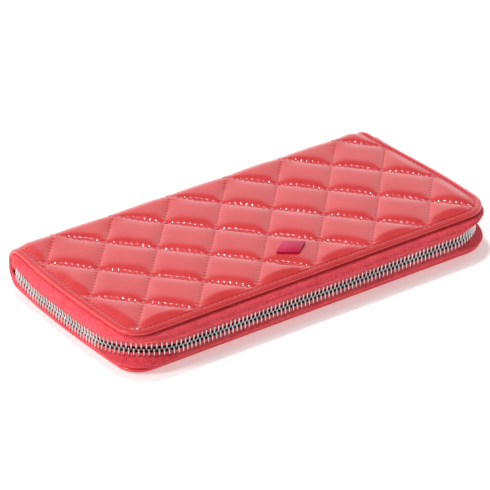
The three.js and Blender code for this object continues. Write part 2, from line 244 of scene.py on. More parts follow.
class Shader:
    """A Principled material and short names for the nodes that feed it."""

    def __init__(self, name, color, roughness, metallic=0.0):
        self.material = bpy.data.materials.new(name)
        self.material.use_nodes = True
        self.nodes = self.material.node_tree.nodes
        self.links = self.material.node_tree.links
        self.bsdf = self.nodes["Principled BSDF"]
        self.set("Base Color", (*color, 1))
        self.set("Roughness", roughness)
        self.set("Metallic", metallic)

    def set(self, socket, value):
        self.bsdf.inputs[socket].default_value = value
        return self

    def node(self, kind, **inputs):
        node = self.nodes.new(kind)
        for key, value in inputs.items():
            node.inputs[key].default_value = value
        return node

    def coordinates(self, flat):
        if flat:
            node = self.nodes.new("ShaderNodeUVMap")
            node.uv_map = "flat"
            return node.outputs["UV"]
        return self.nodes.new("ShaderNodeTexCoord").outputs["Object"]

    def texture(self, kind, source, output, **inputs):
        node = self.node(f"ShaderNodeTex{kind}", **inputs)
        self.links.new(source, node.inputs["Vector"])
        return node.outputs[output]

    def noise(self, source, scale, detail, roughness, stretch=(1, 1, 1)):
        mapping = self.node("ShaderNodeMapping", Scale=stretch)
        self.links.new(source, mapping.inputs["Vector"])
        spot = mapping.outputs["Vector"]
        return self.texture("Noise", spot, "Fac", Scale=scale, Detail=detail, Roughness=roughness)

    def threads(self, source, scale, direction):
        band = self.texture("Wave", source, "Fac", Scale=scale, Distortion=2.0)
        band.node.bands_direction = direction
        return band

    def math(self, operation, first, second):
        node = self.nodes.new("ShaderNodeMath")
        node.operation = operation
        for socket, value in zip(node.inputs, (first, second)):
            if isinstance(value, (int, float)):
                socket.default_value = value
            else:
                self.links.new(value, socket)
        return node.outputs["Value"]

    def ramp(self, source, stops, socket):
        color = color_ramp(self.material.node_tree, source, stops)
        self.links.new(color, self.bsdf.inputs[socket])

    def bump(self, source, strength, distance, below=None):
        node = self.node("ShaderNodeBump", Strength=strength, Distance=distance)
        self.links.new(source, node.inputs["Height"])
        if below is not None:
            self.links.new(below, node.inputs["Normal"])
        self.links.new(node.outputs["Normal"], self.bsdf.inputs["Normal"])
        return node.outputs["Normal"]


def patent_leather():
    shader = Shader("patent_leather", (0.70, 0.045, 0.05), 0.3)
    flat = shader.coordinates(True)
    cloudy = shader.noise(flat, 7, 3, 0.55)
    shader.ramp(cloudy, [(0.3, (0.67, 0.037, 0.042)), (0.7, (0.74, 0.052, 0.058))], "Base Color")
    grain = shader.noise(flat, 260, 2, 0.5)
    shader.ramp(grain, [(0.3, 0.26), (0.75, 0.38)], "Roughness")
    peel = shader.noise(flat, 60, 2, 0.5)
    shader.bump(peel, 0.08, 0.0003)
    shader.set("Specular IOR Level", 0.12)
    shader.set("Coat Weight", 1.0).set("Coat Roughness", 0.04).set("Coat IOR", 1.5)
    return shader.material


def lining_leather():
    shader = Shader("lining_leather", (0.50, 0.06, 0.06), 0.5)
    flat = shader.coordinates(True)
    pores = shader.texture("Voronoi", flat, "Distance", Scale=150)
    cloudy = shader.noise(flat, 5, 4, 0.6)
    shader.ramp(cloudy, [(0.3, (0.46, 0.050, 0.052)), (0.7, (0.56, 0.072, 0.070))], "Base Color")
    shader.ramp(pores, [(0.0, 0.42), (0.6, 0.58)], "Roughness")
    shader.bump(pores, 0.25, 0.0002)
    return shader.material


def woven(name, dark, light, threads, sheen):
    """Cloth with fine threads along both directions of the flat sheet, and a soft uneven grain."""
    shader = Shader(name, light, 0.9)
    flat = shader.coordinates(True)
    along = shader.threads(flat, threads, "X")
    across = shader.threads(flat, threads * 0.8, "Y")
    weave = shader.math("MULTIPLY", along, across)
    fuzz = shader.noise(flat, threads * 1.9, 4, 0.7)
    patches = shader.noise(flat, threads * 0.25, 2, 0.5)
    grain = shader.math("ADD", shader.math("MULTIPLY", fuzz, 1.1), shader.math("MULTIPLY", patches, 0.35))
    height = shader.math("ADD", shader.math("MULTIPLY", weave, 0.15), grain)
    shader.ramp(height, [(0.58, dark), (0.95, light)], "Base Color")
    shader.bump(height, 0.8, 0.0003)
    shader.set("Sheen Weight", sheen).set("Sheen Roughness", 0.4)
    shader.set("Sheen Tint", (1.0, 0.55, 0.55, 1))
    return shader.material


def grained(name, color, roughness, scale, detail, uneven, stretch, dark, light, strength, depth,
            specular=0.5):
    """A plain surface with one noise for its colour and its relief."""
    shader = Shader(name, color, roughness)
    noise = shader.noise(shader.coordinates(False), scale, detail, uneven, stretch)
    shader.ramp(noise, [(0.3, dark), (0.7, light)], "Base Color")
    shader.bump(noise, strength, depth)
    return shader.set("Specular IOR Level", specular).material


def thread_material(name, color):
    dark = tuple(c * 0.7 for c in color)
    return grained(name, color, 0.55, 900, 2, 0.5, (1, 1, 2.5), dark, color, 0.3, 0.0001)


def polished_nickel(name, dark, light, gloss):
    shader = Shader(name, light, gloss, 1.0)
    spot = shader.coordinates(False)
    wear = shader.noise(spot, 420, 4, 0.6)
    shader.ramp(wear, [(0.35, gloss - 0.06), (0.75, gloss + 0.10)], "Roughness")
    tarnish = shader.noise(spot, 90, 3, 0.6)
    shader.ramp(tarnish, [(0.3, dark), (0.7, light)], "Base Color")
    shader.bump(wear, 0.05, 0.0001)
    return shader.material


PATENT = patent_leather()
LINING = lining_leather()
TAPE = woven("zip_tape_cloth", (0.62, 0.026, 0.045), (1.0, 0.105, 0.135), 60, 0.12)
CLOTH = woven("gusset_cloth", (0.34, 0.035, 0.045), (0.56, 0.085, 0.090), 45, 0.2)
SEAM_THREAD = thread_material("seam_thread", (0.82, 0.14, 0.19))
LINING_THREAD = thread_material("lining_thread", (0.70, 0.16, 0.15))
NICKEL = polished_nickel("polished_nickel", (0.66, 0.65, 0.62), (0.80, 0.79, 0.77), 0.16)
TEETH = polished_nickel("zip_nickel", (0.46, 0.45, 0.44), (0.62, 0.61, 0.60), 0.24)
BOARD = grained("grey_board", (0.42, 0.33, 0.22), 0.95, 700, 4, 0.7, (1, 3, 1),
                (0.34, 0.26, 0.17), (0.48, 0.39, 0.27), 0.3, 0.0002)
ENAMEL = grained("badge_enamel", (0.58, 0.008, 0.07), 0.3, 160, 3, 0.5, (1, 1, 1),
                 (0.50, 0.006, 0.055), (0.64, 0.012, 0.085), 0.05, 0.0001, specular=0.25)


# ---- quilted covers and spine

def edge_half_at(s, side):
    """How far the leather reaches at s from its middle to one end: side -1 is the left, 1 the right."""
    bow = np.sin(np.clip((s - EDGE_FRONT) / (SPINE_MIDDLE_S - EDGE_FRONT), 0, 1) * math.pi)
    narrowing = (EDGE_HALF - spine_high[0]) * smoothstep(SPINE_Y - 20, SPINE_Y, s)
    left = EDGE_HALF - narrowing + LEFT_BOW * bow
    right = EDGE_HALF - narrowing + RIGHT_BOW * bow - RIGHT_TAPER * smoothstep(-20, 30, s)
    return np.where(np.asarray(side) < 0, left, right)


def corner_radius(side):
    return np.where(np.asarray(side) < 0, LEFT_CORNER, RIGHT_CORNER)


def inside_edge(x, s):
    """Distance from the leather's edge inwards, with the rounded front corners."""
    half = edge_half_at(s, x)
    radius = corner_radius(x)
    over_x = np.abs(x) - (half - radius)
    over_s = EDGE_FRONT + radius - s
    corner = radius - np.hypot(np.maximum(over_x, 0), np.maximum(over_s, 0))
    straight = np.minimum(half - np.abs(x), s - EDGE_FRONT)
    return np.where((over_x > 0) & (over_s > 0), corner, straight)


def cell_noise(i, j, seed):
    """A steady value from 0 to 1 for each diamond."""
    value = np.sin(i * 12.9898 + j * 78.233 + seed) * 43758.5453
    return value - np.floor(value)


def lattice(x, pattern_s):
    u = (x + LATTICE_X) / PITCH_X + (pattern_s - LATTICE_S) / PITCH_S
    v = (x + LATTICE_X) / PITCH_X - (pattern_s - LATTICE_S) / PITCH_S
    return u, v


def spine_share(s):
    """How far the quilting has flattened out: 0 on the cover, 1 where it is pulled tight over the spine."""
    return smoothstep(SPINE_Y - 9, SPINE_Y + 3, s)


def quilt_height(x, s, pattern_s):
    """Height of the leather over its stitch lines."""
    u, v = lattice(x, pattern_s)
    a, b = u - np.floor(u), v - np.floor(v)
    near_a, near_b = np.minimum(a, 1 - a), np.minimum(b, 1 - b)
    plump = 0.86 + 0.14 * cell_noise(np.floor(u), np.floor(v), 1.7)
    fall_a = 1 - (1 - 2 * near_a) ** 3.6
    fall_b = 1 - (1 - 2 * near_b) ** 3.6
    puff = CROWN * plump * fall_a * fall_b
    tight = spine_share(s)
    puff = puff * (1 - 0.72 * tight) + SPINE_PUFF * CROWN * tight

    inside = inside_edge(x, s) - EDGE_SEAM
    puff = puff * smoothstep(-0.2, 6.0, inside) ** 0.7

    # Each stitch pulls its own small hollow into the seam
    seams = np.zeros_like(x)
    for near, run, dip in ((near_a, b, STITCH_DIP), (near_b, a, 0.55 * STITCH_DIP)):
        distance = near * CELL_GAP
        pull = 0.5 + 0.5 * np.cos(2 * math.pi * (run * STITCHES_PER_EDGE - 0.5))
        seams -= (SEAM_DIP + dip * pull ** 1.5) * np.exp(-(distance / 0.95) ** 2)
    inner = smoothstep(-0.3, 0.5, inside)
    edge_run = np.where(s < EDGE_FRONT + EDGE_CORNER, x, s)
    edge_wave = 0.5 - 0.5 * np.cos(2 * math.pi * edge_run / EDGE_STITCH_PITCH)
    edge_dip = -0.42 * np.exp(-(inside / 0.5) ** 2)
    edge_pucker = 0.10 * edge_wave * np.exp(-((inside - 0.9) / 0.7) ** 2)
    roll = 0.26 * np.sin(np.clip((inside + EDGE_SEAM) / EDGE_SEAM, 0, 1) * math.pi) * (1 - inner)
    wander = 0.06 * np.sin(x * 0.11 + s * 0.07 + 0.4) + 0.04 * np.sin(x * 0.23 - s * 0.19 + 2.0)
    height = (puff + seams + wander * smoothstep(0, 6, inside)) * inner + edge_dip + edge_pucker + roll
    return np.maximum(height, LEATHER_BACK + 0.05)


def over_the_spine(x, s, h):
    """From the unrolled leather to its place on the top half of the wallet."""
    seam_radius = SPINE_RADIUS - CROWN
    turn = np.clip((s - SPINE_Y) / NEUTRAL_RADIUS, 0, None)
    radius = seam_radius + h
    y = np.minimum(s, SPINE_Y) + radius * np.sin(turn)
    z = MIDDLE_Z + radius * np.cos(turn)
    return np.stack([x, y, z], -1)


def turned_over(points):
    """From the top half to the same place under the wallet."""
    points = points.copy()
    points[..., 2] = CLOSED - points[..., 2]
    return points


def cover_rows():
    """Rows of the grid from the front edge back: close together where the corners turn."""
    turn = np.linspace(0, math.pi / 2, int(RIGHT_CORNER * 1.6 / GRID))
    corner = EDGE_FRONT + RIGHT_CORNER - RIGHT_CORNER * np.cos(turn)
    rest = np.linspace(EDGE_FRONT + RIGHT_CORNER, SPINE_MIDDLE_S,
                       int((SPINE_MIDDLE_S - EDGE_FRONT - RIGHT_CORNER) / GRID))
    return np.concatenate([corner, rest[1:]])


def quilted_leather(name, underneath):
    """One cover and its half of the spine as one closed sheet with a turned edge."""
    rows = cover_rows()
    inset_rows = np.maximum(rows, EDGE_FRONT + EDGE_ROUND)
    columns = np.linspace(-1, 1, int(2 * EDGE_HALF / GRID))
    halves = []
    for side in (-1, 1):
        radius = float(corner_radius(side)) - EDGE_ROUND
        ahead = np.clip(EDGE_FRONT + EDGE_ROUND + radius - inset_rows, 0, radius)
        cut_in = radius - np.sqrt(np.maximum(radius ** 2 - ahead ** 2, 0))
        halves.append(edge_half_at(rows, side) - EDGE_ROUND - cut_in)
    keep = np.concatenate([[True], np.diff(inset_rows) > 1e-6])
    half = np.where(columns[None, :] < 0, halves[0][:, None], halves[1][:, None])
    x = (half * columns[None, :])[keep]
    s = np.repeat(inset_rows[keep][:, None], len(columns), 1)
    pattern = 2 * SPINE_MIDDLE_S - s if underneath else s
    h = quilt_height(x, s, pattern) * smoothstep(0.0, 1.2, inside_edge(x, s) - EDGE_ROUND)

    index = np.arange(x.size).reshape(x.shape)
    rim = np.concatenate([index[::-1, 0], index[0, 1:-1], index[:, -1]])
    rim_x, rim_s, rim_h = x.ravel()[rim], s.ravel()[rim], h.ravel()[rim]
    step = np.stack([np.gradient(rim_x), np.gradient(rim_s)], -1)
    step /= np.linalg.norm(step, axis=1)[:, None]
    out_x, out_s = step[:, 1], -step[:, 0]
    flat_x, flat_s, heights = [x.ravel()], [s.ravel()], [h.ravel()]
    faces = [grid_faces(*x.shape)]
    before = rim
    start = x.size
    for further, lower in EDGE_ROLL:
        flat_x.append(rim_x + out_x * further)
        flat_s.append(rim_s + out_s * further * (1 - smoothstep(-2, 0, rim_s - SPINE_MIDDLE_S)))
        heights.append(rim_h - lower)
        now = start + np.arange(len(rim))
        faces.append(np.stack([before[:-1], now[:-1], now[1:], before[1:]], -1))
        before = now
        start += len(rim)

    back_x, back_s = x * (1 - BACK_INSET / EDGE_HALF), s + BACK_INSET * smoothstep(SPINE_Y, EDGE_FRONT, s)
    flat_x.append(back_x.ravel())
    flat_s.append(back_s.ravel())
    heights.append(np.full(x.size, LEATHER_BACK))
    back = start + index
    back_rim = start + rim
    outer_faces = sum(len(block) for block in faces)
    faces.append(grid_faces(*x.shape, start)[:, ::-1])
    back_faces = len(faces[-1])
    faces.append(np.stack([before[:-1], back_rim[:-1], back_rim[1:], before[1:]], -1))
    joint_row = np.concatenate([[rim[0]], index[-1, 1:-1], [rim[-1]]])
    faces.append(np.stack([joint_row[:-1], joint_row[1:], back[-1, 1:], back[-1, :-1]], -1))
    flat_x, flat_s, heights = map(np.concatenate, (flat_x, flat_s, heights))
    points = over_the_spine(flat_x, flat_s, heights)
    faces = np.concatenate(faces).tolist()
    ends = [x.size + k * len(rim) for k in range(len(EDGE_ROLL))]
    faces.append([int(rim[0])] + ends + [int(back_rim[0])])
    faces.append(([int(rim[-1])] + [e + len(rim) - 1 for e in ends] + [int(back_rim[-1])])[::-1])
    if underneath:
        points = turned_over(points)
        faces = [face[::-1] for face in faces]
    leather = new_object(name, points, faces, PATENT, np.stack([flat_x, flat_s], -1))
    leather.data.materials.append(LINING)
    which = np.zeros(len(faces), np.int32)
    which[outer_faces:outer_faces + back_faces] = 1
    leather.data.polygons.foreach_set("material_index", which)
    return leather


def stitch_block(centre_x, centre_s, run_x, run_s, length, lift, radius):
    """Threads as short rounded strands in the unrolled sheet: vertices (x, s, h) and faces."""
    along = np.array([-1, -0.72, 0, 0.72, 1]) * length / 2
    dip = np.array([-0.34, -0.04, 0.05, -0.04, -0.34])
    thick = np.array([0.35, 0.85, 1, 0.85, 0.35]) * radius
    angle = np.linspace(0, 2 * math.pi, 6, endpoint=False)
    count = len(centre_x)
    base_x = centre_x[:, None, None] + run_x[:, None, None] * along[None, :, None]
    base_s = centre_s[:, None, None] + run_s[:, None, None] * along[None, :, None]
    side = thick[None, :, None] * np.cos(angle)[None, None, :]
    x = base_x - run_s[:, None, None] * side
    s = base_s + run_x[:, None, None] * side
    h = lift[:, None, None] + dip[None, :, None] + thick[None, :, None] * np.sin(angle)[None, None, :]
    h = np.broadcast_to(h, x.shape)
    one = grid_faces(5, 6, wrap=True)
    faces = (np.arange(count)[:, None, None] * 30 + one[None]).reshape(-1, 4)
    ends = np.array([[5, 4, 3, 2, 1, 0], [24, 25, 26, 27, 28, 29]])
    caps = (np.arange(count)[:, None, None] * 30 + ends[None]).reshape(-1, 6)
    return x.ravel(), s.ravel(), h.ravel(), faces.tolist() + caps.tolist()


def seam_stitches():
    """Middle and direction of every stitch on the diamond seams of one cover and half the spine."""
    found = []
    for family in (1, -1):
        run = np.array([PITCH_X, -family * PITCH_S]) / math.hypot(PITCH_X, PITCH_S)
        for line in range(-8, 16):
            for step in range(-20 * STITCHES_PER_EDGE, 20 * STITCHES_PER_EDGE):
                along = (step + 0.5) / STITCHES_PER_EDGE
                x = -LATTICE_X + PITCH_X * (line + along) / 2
                s = LATTICE_S + family * PITCH_S * (line - along) / 2
                found.append((x, s, run[0], run[1]))
    return np.array(found)


def cover_stitches(name, underneath):
    """The thread in the diamond seams and in the seam along the edge."""
    x, s, run_x, run_s = seam_stitches().T
    if underneath:
        s, run_s = 2 * SPINE_MIDDLE_S - s, -run_s
    inner = (inside_edge(x, s) > EDGE_SEAM + 0.6) & (s > EDGE_FRONT) & (s < SPINE_MIDDLE_S - 0.2)
    x, s, run_x, run_s = x[inner], s[inner], run_x[inner], run_s[inner]
    lift = SPINE_PUFF * CROWN * spine_share(s) - 0.16
    seam = stitch_block(x, s, run_x, run_s, CELL_EDGE / STITCHES_PER_EDGE * 0.84, lift, 0.19)
    route_x, route_s = edge_seam_route()
    lengths = np.concatenate([[0], np.cumsum(np.hypot(np.diff(route_x), np.diff(route_s)))])
    marks = np.arange(1.5, lengths[-1], EDGE_STITCH_PITCH)
    mid_x, mid_s = np.interp(marks, lengths, route_x), np.interp(marks, lengths, route_s)
    ahead_x = np.interp(marks + 0.2, lengths, route_x) - mid_x
    ahead_s = np.interp(marks + 0.2, lengths, route_s) - mid_s
    size = np.hypot(ahead_x, ahead_s)
    edge = stitch_block(mid_x, mid_s, ahead_x / size, ahead_s / size, 2.1, np.full(len(mid_x), -0.12), 0.2)
    offset = len(seam[0])
    flat_x, flat_s, flat_h = (np.concatenate([a, b]) for a, b in zip(seam[:3], edge[:3]))
    faces = seam[3] + [[i + offset for i in face] for face in edge[3]]
    points = over_the_spine(flat_x, flat_s, flat_h)
    if underneath:
        points = turned_over(points)
    return face_outwards(new_object(name, points, faces, SEAM_THREAD))


def edge_seam_route():
    """The seam along the edge, unrolled: up the left end, along the front and back up the right."""
    sides = []
    for side in (-1, 1):
        full = float(corner_radius(side))
        side_s = np.linspace(SPINE_MIDDLE_S - 0.3, EDGE_FRONT + full, 200)
        turn = np.linspace(0, math.pi / 2, 20)[1:]
        half = float(edge_half_at(EDGE_FRONT + full, side)) - full
        corner_x = half + (full - EDGE_SEAM) * np.cos(turn)
        corner_s = EDGE_FRONT + full - (full - EDGE_SEAM) * np.sin(turn)
        x = np.concatenate([edge_half_at(side_s, side) - EDGE_SEAM, corner_x])
        sides.append((side * x, np.concatenate([side_s, corner_s])))
    (left_x, left_s), (right_x, right_s) = sides
    return np.concatenate([left_x, right_x[::-1]]), np.concatenate([left_s, right_s[::-1]])


def across_fold(obj, top):
    """Bakes a piece's transform into its mesh. The ends of the lower or upper fold are worked out, but the
    piece is not bent over them.
    """
    fold = np.array([0, SPINE_Y + SPINE_RADIUS * math.sin(FOLD_ANGLE),
                     MIDDLE_Z - SPINE_RADIUS * math.cos(FOLD_ANGLE)])
    run = np.array([0, math.cos(FOLD_ANGLE), math.sin(FOLD_ANGLE)]) * FOLD_REACH
    flat_end, spine_end = (Vector((turned_over(p) if top else p) * MM) for p in (fold - run, fold + run))
    if top:
        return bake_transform(obj)
    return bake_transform(obj)


def make_covers():
    for half, underneath in (("top", False), ("bottom", True)):
        leather = quilted_leather(f"{half}_quilted_leather", underneath)
        stitches = cover_stitches(f"{half}_quilt_stitches", underneath)
        nodes = [f"{half}_cover_leather"] + ([] if underneath else ["spine_leather"])
        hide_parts(*nodes)
        across_fold(leather, not underneath)
        across_fold(stitches, not underneath)


# ---- zip tapes and teeth

def zip_dip(x, y):
    """How far the closed zip hangs below the middle at a place along its route, as in the CAD."""
    along_front = FRONT_DIP_SHARE * (1 - smoothstep(0, DIP_LEVEL_X, x))
    on_the_left = (1 - FRONT_DIP_SHARE) * (1 - smoothstep(-EDGE_HALF - CHAIN_OUT, -DIP_LEVEL_X, x))
    along_left = on_the_left * smoothstep(DIP_CORNER_Y, DIP_MIDDLE_Y, y)
    return LEFT_DIP * (along_front + along_left) * (1 - smoothstep(DIP_FULL_Y, DIP_REAR_Y, y))


def zip_bow(x, y):
    """How far the zip bows out along the left end."""
    along = np.clip((y - EDGE_FRONT) / (DIP_REAR_Y + 6 - EDGE_FRONT), 0, 1)
    return ZIP_BOW * np.sin(along * math.pi) * (1 - smoothstep(-EDGE_HALF + 8, -DIP_LEVEL_X, x))


def edge_route(out, follow, left_rear, right_rear, left_tuck, right_tuck):
    """The way round the three open sides, as the CAD's tapes and tooth rows take it."""
    half = EDGE_HALF + out
    front = EDGE_FRONT - out * FRONT_STAND
    left_radius = EDGE_CORNER + follow * CHAIN_CORNER_EXTRA + out
    right_radius = left_radius + (RIGHT_CORNER - EDGE_CORNER) * (1 - follow)
    straight_end = EDGE_FRONT + EDGE_CORNER + CHAIN_CORNER_EXTRA + 4

    def side(sign, rear, tuck, radius):
        fine = np.linspace(0, 1, 9)
        x = sign * (half - tuck * (1 - fine) ** 2)
        y = rear - TUCK_LENGTH * fine
        run = np.linspace(rear - TUCK_LENGTH, straight_end, 46)[1:]
        last = np.linspace(straight_end, front + radius, 12)[1:-1]
        ys = np.concatenate([y, run, last])
        xs = np.concatenate([x, np.full(len(run) + len(last), sign * half)])
        return np.stack([xs, ys], -1)

    def corner(sign, radius):
        turn = np.linspace(0, math.pi / 2, 40)
        x = sign * (half - radius + radius * np.cos(turn))
        return np.stack([x, front + radius - radius * np.sin(turn)], -1)

    left_corner, right_corner = corner(-1, left_radius), corner(1, right_radius)[::-1]
    straight_x = np.linspace(left_corner[-1, 0], right_corner[0, 0], 150)[1:-1]
    straight = np.stack([straight_x, np.full(len(straight_x), front)], -1)
    left = side(-1, left_rear, left_tuck, left_radius)
    right = side(1, right_rear, right_tuck, right_radius)[::-1]
    route = np.concatenate([left, left_corner, straight, right_corner, right])
    route[:, 0] -= zip_bow(route[:, 0], route[:, 1])
    return route


def path_normals(path):
    """Outward direction (away from the wallet) at each point of a route."""
    step = np.gradient(path, axis=0)
    step /= np.linalg.norm(step, axis=1)[:, None]
    return step, np.stack([step[:, 1], -step[:, 0]], -1)


# Middle of the tape's section: out from the leather edge, how far it follows the zip's corner, height
TAPE_SECTION = [
    (-2.5, 0.0, 3.35), (-1.2, 0.0, 3.45), (-0.3, 0.0, 3.7), (0.5, 0.05, 4.0), (1.3, 0.13, 4.4),
    (1.95, 0.26, 4.9), (2.3, 0.42, 5.4), (2.35, 0.6, 6.0), (2.2, 0.78, 6.65),
    (1.9, 0.92, 7.15), (1.65, 1.0, 7.6), (1.6, 1.0, 8.3), (1.6, 1.0, 9.0), (1.6, 1.0, 9.45),
]
TAPE_HALF_THICK = [0.3] * 11 + [0.34, 0.46, 0.4]


def tape_gathers(run, corner_share, level):
    """Small vertical folds where the tape turns the corners."""
    folds = 0.07 * np.sin(run * 3.1) + 0.05 * np.sin(run * 5.3 + 1.0)
    return folds * corner_share * math.exp(-((level - 0.5) / 0.25) ** 2)


def zip_tape(name, ends, over):
    """A woven tape from the seam under the leather edge out to the teeth, with bulging lips."""
    _, right_rear, left_tuck, right_tuck = ends
    rings = []
    for (out, follow, z), thick in zip(TAPE_SECTION, TAPE_HALF_THICK):
        left_rear = SPINE_Y + math.sqrt(TAPE_IN_SPINE ** 2 - (MIDDLE_Z - z) ** 2)
        path = edge_route(out, follow, left_rear, right_rear, left_tuck, right_tuck)
        dip = zip_dip(path[:, 0], path[:, 1]) * follow
        rings.append((path, z + dip if over else z - dip, thick))
    stations = len(rings[0][0])
    chain = rings[-1][0]
    run = run_along(chain)
    direction, outward = path_normals(chain)
    turn_rate = np.abs(np.gradient(np.unwrap(np.arctan2(direction[:, 1], direction[:, 0]))))
    corner_share = smoothstep(0.0, 0.03, np.convolve(turn_rate, np.ones(15) / 15, "same"))
    centre = np.empty((stations, len(rings), 3))
    for k, (path, z, _) in enumerate(rings):
        level = k / (len(rings) - 1)
        folds = tape_gathers(run, corner_share, level)
        sway = 0.08 * np.sin(run * 0.12 + k * 0.3) * math.sin(math.pi * level)
        centre[:, k, :2] = path + outward * (folds + sway)[:, None]
        centre[:, k, 2] = z
    across = np.gradient(centre, axis=1)
    forward = np.gradient(centre, axis=0)
    normal = np.cross(forward, across)
    normal /= np.linalg.norm(normal, axis=2)[:, :, None]
    thick = np.array([r[2] for r in rings])[None, :, None]
    outer, inner = centre + normal * thick, centre - normal * thick
    section = np.concatenate([outer, inner[:, ::-1]], axis=1)
    vertices, faces = loft(section)
    lengths = run_along(centre[stations // 2])
    across_mm = np.concatenate([lengths, lengths[::-1]])
    uv = np.stack([np.repeat(run, len(across_mm)), np.tile(across_mm, stations)], -1)
    if over:
        vertices = turned_over(vertices)
    return face_outwards(new_object(name, vertices, faces, TAPE, uv))


def tooth_template():
    """One lower tooth: a bar clamped on the tape's bead below, the head above."""
    levels = [
        (7.5, 0.19, 0.72), (7.62, 0.32, 0.86), (8.6, 0.35, 0.9), (9.7, 0.35, 0.9), (10.2, 0.35, 0.86),
        (10.38, 0.4, 0.74), (10.9, 0.44, 0.6), (11.25, 0.4, 0.5), (11.42, 0.26, 0.34),
    ]
    rings = []
    for z, width, depth in levels:
        cut = min(width, depth) * 0.5
        rear = [(width, depth - cut), (width - cut, depth), (-width + cut, depth), (-width, depth - cut)]
        section = rear + [(-a, -r) for a, r in rear]
        rings.append([(a, r, z) for a, r in section])
    return loft(rings)


def tooth_row(name, path, over, half_step, dip=None, pitch=TOOTH_PITCH, scale=1.0):
    """Teeth at an even pitch along a route. scale shrinks them towards the parting of the two rows."""
    vertices, faces = tooth_template()
    vertices = vertices * [scale, scale, 1]
    vertices[:, 2] = MIDDLE_Z + (vertices[:, 2] - MIDDLE_Z) * scale
    direction, outward = path_normals(path)
    run = run_along(path)
    marks = np.arange(pitch * (1.0 if half_step else 0.5), run[-1] - pitch * 0.4, pitch)
    blocks = []
    for mark in marks:
        at, forward, out = (along_route(mark, run, values) for values in (path, direction, outward))
        place_xy = at + vertices[:, :1] * forward + vertices[:, 1:2] * out
        height = CLOSED - vertices[:, 2] if over else vertices[:, 2]
        drop = dip(*at) if dip else 0.0
        blocks.append((np.column_stack([place_xy, height - drop]), faces))
    points, all_faces = joined(blocks)
    return face_outwards(new_object(name, points, all_faces, TEETH))


def make_zip():
    tape_ends = (LEFT_REAR, node_box("lower_zip_end_stop")[1][1], TUCK_DEPTH, 0.0)
    lower_row_ends = (LEFT_REAR, node_box("lower_zip_end_stop")[0][1] - 0.3, TUCK_DEPTH, 0.0)
    upper_row_ends = (LEFT_REAR, node_box("zip_slider_body")[0][1] - 3.5, TUCK_DEPTH, 0.0)
    for half, body, row_ends, over in (
        ("lower", "bottom_cover", lower_row_ends, False),
        ("upper", "top_cover", upper_row_ends, True),
    ):
        tape = zip_tape(f"{half}_woven_tape", tape_ends, over)
        place(tape, body, "zip_tape", f"{half}_zip_tape")
        path = edge_route(CHAIN_OUT, 1.0, *row_ends)
        teeth = tooth_row(f"{half}_zip_teeth", path, over, over, zip_dip)
        place(teeth, body, "nickel", f"{half}_tooth_row")


def sheet_body(name, u, v, outside, inside, material, flat):
    """A closed thin body between two surfaces over the same grid. u and v only give its size."""
    rows, columns = len(v), len(u)
    index = np.arange(rows * columns).reshape(rows, columns)
    rim = np.concatenate([index[0, :], index[1:, -1], index[-1, -2::-1], index[-2:0:-1, 0]])
    middle = (outside.reshape(-1, 3)[rim] + inside.reshape(-1, 3)[rim]) / 2
    out_u = np.where(rim % columns == 0, -1, 0) + np.where(rim % columns == columns - 1, 1, 0)
    out_v = np.where(rim // columns == 0, -1, 0) + np.where(rim // columns == rows - 1, 1, 0)
    points = outside.reshape(rows, columns, 3)
    along_u = (points[:, -1] - points[:, 0])[rim // columns]
    along_v = (points[-1] - points[0])[rim % columns]
    away = out_u[:, None] * along_u / np.linalg.norm(along_u, axis=1)[:, None]
    away = away + out_v[:, None] * along_v / np.linalg.norm(along_v, axis=1)[:, None]
    half_thick = np.linalg.norm(outside.reshape(-1, 3)[rim] - inside.reshape(-1, 3)[rim], axis=1) / 2
    middle = middle + away * half_thick[:, None] * 0.8
    count = rows * columns
    vertices = np.concatenate([outside.reshape(-1, 3), inside.reshape(-1, 3), middle])
    ring = np.arange(len(rim))
    after = (ring + 1) % len(rim)
    top, low, mid = rim, rim + count, ring + 2 * count
    faces = np.concatenate([
        grid_faces(rows, columns), grid_faces(rows, columns, count)[:, ::-1],
        np.stack([top[after], top, mid, mid[after]], -1), np.stack([mid[after], mid, low, low[after]], -1),
    ])
    flat = flat.reshape(-1, 2)
    obj = new_object(name, vertices, faces, material, np.concatenate([flat, flat, flat[rim]]))
    return face_outwards(obj)


# One stitch: along it, how far it dips, and how thick it is there
STRAND = [(-1, -0.22, 0.4), (-0.7, 0.0, 0.9), (0, 0.05, 1.0), (0.7, 0.0, 0.9), (1, -0.22, 0.4)]


def thread_line(name, points, up, spacing, body, radius=0.16, material=None):
    """Stitches along a line of points; up is the side of the piece that they show on."""
    points, up = np.asarray(points, float), np.asarray(up, float)
    run = run_along(points)
    marks = np.arange(spacing / 2, run[-1], spacing)
    angles = np.linspace(0, 2 * math.pi, 6, endpoint=False)
    blocks = []
    for mark in marks:
        before, after = (along_route(mark + shift, run, points) for shift in (-0.1, 0.1))
        along = (after - before) / np.linalg.norm(after - before)
        side = np.cross(along, up)
        middle = (before + after) / 2
        rings = []
        for step, dip, thick in STRAND:
            centre = middle + along * step * spacing * 0.41 + up * (dip + 0.02)
            rings.append([centre + (side * math.cos(a) + up * math.sin(a)) * radius * thick for a in angles])
        blocks.append(loft(rings))
    stitches = face_outwards(new_object(name, *joined(blocks), material or LINING_THREAD))
    return place(stitches, body, "lining_leather")


def turned(points, over):
    """The same place in the upper half for the pieces that both halves have."""
    return turned_over(points) if over else points


def node_grid(node, columns, rows):
    """A CAD node's corners, and a flat grid over it."""
    low, high = node_box(node)
    x, y = np.linspace(low[0], high[0], columns), np.linspace(low[1], high[1], rows)
    return low, high, x, y, flat_grid(x, y)


def flat_sheet(name, u, v, flat, top, under, material, over=False):
    """A thin body over a flat grid, from height under up to height top."""
    outside, inside = (turned(raised(flat, z), over) for z in (top, under))
    return sheet_body(name, u, v, outside, inside, material, flat)


POCKET_NAMES = {"bottom": "lower", "top": "upper"}


